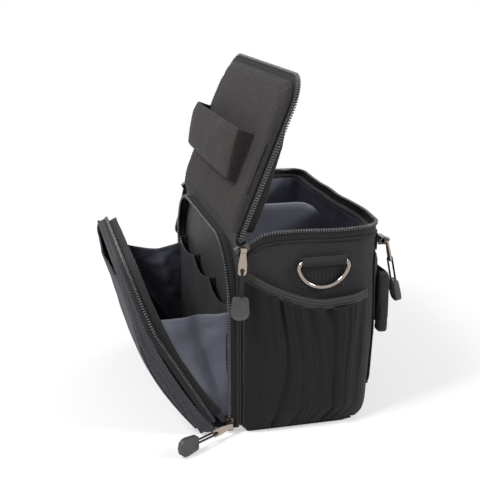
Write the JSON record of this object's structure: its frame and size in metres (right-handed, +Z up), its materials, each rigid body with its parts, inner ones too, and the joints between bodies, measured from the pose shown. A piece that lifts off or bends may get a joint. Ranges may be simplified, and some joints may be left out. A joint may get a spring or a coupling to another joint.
{
  "type": "camera bag",
  "caption": "Padded camera bag with hinged lid, drop-down organiser front, side mesh pockets, strap rings, sliding divider and luggage band.",
  "frame": {"origin": "Centre of the underside of the base, on the plane the bag stands on, midway between the two side panels and on the line where the side rings' middle would project, 66 mm behind the front face.", "axes": "+Z up, -Y toward the front organiser panel, +X toward the bag's side that is seen with the front on the left."},
  "size_m": [0.3204, 0.2617, 0.3134],
  "materials": {
    "side_twill": "tight textured twill, matt",
    "front_weave": "ballistic weave, matt warm charcoal",
    "heather": "heather grey weave with pale flecks",
    "lining": "smooth blue-grey lining over foam",
    "slip_cloth": "thin dark pocket cloth",
    "mesh": "elastic knitted mesh",
    "binding": "ribbed elastic binding",
    "zip_tape": "herringbone zip tape",
    "zip_teeth": "moulded coil teeth",
    "webbing": "heavy flat webbing",
    "ring_metal": "polished nickel wire",
    "slider_metal": "dark nickel plate",
    "pull_metal": "champagne nickel plate",
    "pull_cord": "round braided cord",
    "grip_rubber": "soft moulded rubber"
  },
  "bodies": {
    "body": {"base_panel": "side_twill", "side_panel_right": "side_twill", "side_panel_left": "side_twill", "back_panel": "side_twill", "front_panel": "front_weave", "main_lining": "lining", "corner_piping": "binding", "main_zip_tape": "zip_tape", "main_zip_teeth": "zip_teeth", "front_zip_tape": "zip_tape", "front_zip_teeth": "zip_teeth", "mesh_pocket_right": "mesh", "mesh_pocket_left": "mesh", "pocket_binding_right": "binding", "pocket_binding_left": "binding", "ring_tab_right": "webbing", "ring_tab_left": "webbing", "back_pocket": "front_weave", "back_zip_tape": "zip_tape", "back_zip_teeth": "zip_teeth", "luggage_band": "front_weave", "slip_pockets": "slip_cloth", "gusset_right": "lining", "gusset_left": "lining", "lid_fold": "front_weave"},
    "lid": {"lid_panel": "front_weave", "lid_lining": "lining", "lid_zip_tape": "zip_tape", "lid_zip_teeth": "zip_teeth", "lid_pocket": "front_weave"},
    "flap": {"flap_shell": "heather", "flap_lining": "lining", "flap_guard": "zip_tape", "flap_zip_tape": "zip_tape", "flap_zip_teeth": "zip_teeth", "flap_pocket": "heather"},
    "ring_right": {"d_ring_right": "ring_metal"},
    "ring_left": {"d_ring_left": "ring_metal"},
    "divider": {"divider": "lining"},
    "main_slider_right": {"main_slider_right": "slider_metal"},
    "main_pull_right": {"main_pull_right": "pull_metal", "main_cord_right": "pull_cord", "main_grip_right": "grip_rubber"},
    "front_slider_right": {"front_slider_right": "slider_metal"},
    "front_pull_right": {"front_pull_right": "pull_metal", "front_cord_right": "pull_cord", "front_grip_right": "grip_rubber"},
    "main_slider_left": {"main_slider_left": "slider_metal"},
    "main_pull_left": {"main_pull_left": "pull_metal", "main_cord_left": "pull_cord", "main_grip_left": "grip_rubber"},
    "front_slider_left": {"front_slider_left": "slider_metal"},
    "front_pull_left": {"front_pull_left": "pull_metal", "front_cord_left": "pull_cord", "front_grip_left": "grip_rubber"},
    "back_slider": {"back_slider": "slider_metal"},
    "back_pull": {"back_pull": "pull_metal", "back_cord": "pull_cord", "back_grip": "grip_rubber"}
  },
  "joints": [
    {"name": "lid_hinge", "type": "hinge", "parent": "body", "child": "lid", "pos_m": [0, -0.0567, 0.1832], "axis": [1, 0, 0], "range_deg": [-68, 45], "deforming": ["lid_fold"]},
    {"name": "flap_hinge", "type": "hinge", "parent": "body", "child": "flap", "pos_m": [0, -0.08, 0.002], "axis": [1, 0, 0], "range_deg": [-27, 6], "deforming": ["gusset_right", "gusset_left"]},
    {"name": "ring_hinge_right", "type": "hinge", "parent": "body", "child": "ring_right", "pos_m": [0.1295, 0.0077, 0.1565], "axis": [0, -1, 0], "range_deg": [0, 170]},
    {"name": "ring_hinge_left", "type": "hinge", "parent": "body", "child": "ring_left", "pos_m": [-0.1295, 0.0077, 0.1565], "axis": [0, 1, 0], "range_deg": [0, 170]},
    {"name": "divider_slide", "type": "slide", "parent": "body", "child": "divider", "axis": [1, 0, 0], "range_m": [-0.07, 0.07]},
    {"name": "main_slide_right", "type": "slide", "parent": "body", "child": "main_slider_right", "axis": [0, 0.8669, 0.4985], "range_m": [0, 0.011]},
    {"name": "main_pull_hinge_right", "type": "hinge", "parent": "main_slider_right", "child": "main_pull_right", "pos_m": [0.1291, -0.0634, 0.171], "axis": [0, -0.9962, 0.0872], "range_deg": [0, 110]},
    {"name": "front_slide_right", "type": "slide", "parent": "body", "child": "front_slider_right", "axis": [0, 0, 1], "range_m": [0, 0.085]},
    {"name": "front_pull_hinge_right", "type": "hinge", "parent": "front_slider_right", "child": "front_pull_right", "pos_m": [0.1271, -0.0743, 0.009], "axis": [0, 0, 1], "range_deg": [-26, 60]},
    {"name": "main_slide_left", "type": "slide", "parent": "body", "child": "main_slider_left", "axis": [0, 0.8669, 0.4985], "range_m": [0, 0.011]},
    {"name": "main_pull_hinge_left", "type": "hinge", "parent": "main_slider_left", "child": "main_pull_left", "pos_m": [-0.1291, -0.0634, 0.171], "axis": [0, 0.9962, -0.0872], "range_deg": [0, 110]},
    {"name": "front_slide_left", "type": "slide", "parent": "body", "child": "front_slider_left", "axis": [0, 0, 1], "range_m": [0, 0.085]},
    {"name": "front_pull_hinge_left", "type": "hinge", "parent": "front_slider_left", "child": "front_pull_left", "pos_m": [-0.1271, -0.0743, 0.009], "axis": [0, 0, -1], "range_deg": [-26, 60]},
    {"name": "back_slide", "type": "slide", "parent": "body", "child": "back_slider", "axis": [1, 0, 0], "range_m": [-0.214, 0]},
    {"name": "back_pull_hinge", "type": "hinge", "parent": "back_slider", "child": "back_pull", "pos_m": [0.106, 0.07452, 0.16478], "axis": [1, 0, 0], "range_deg": [0, 90]}
  ]
}
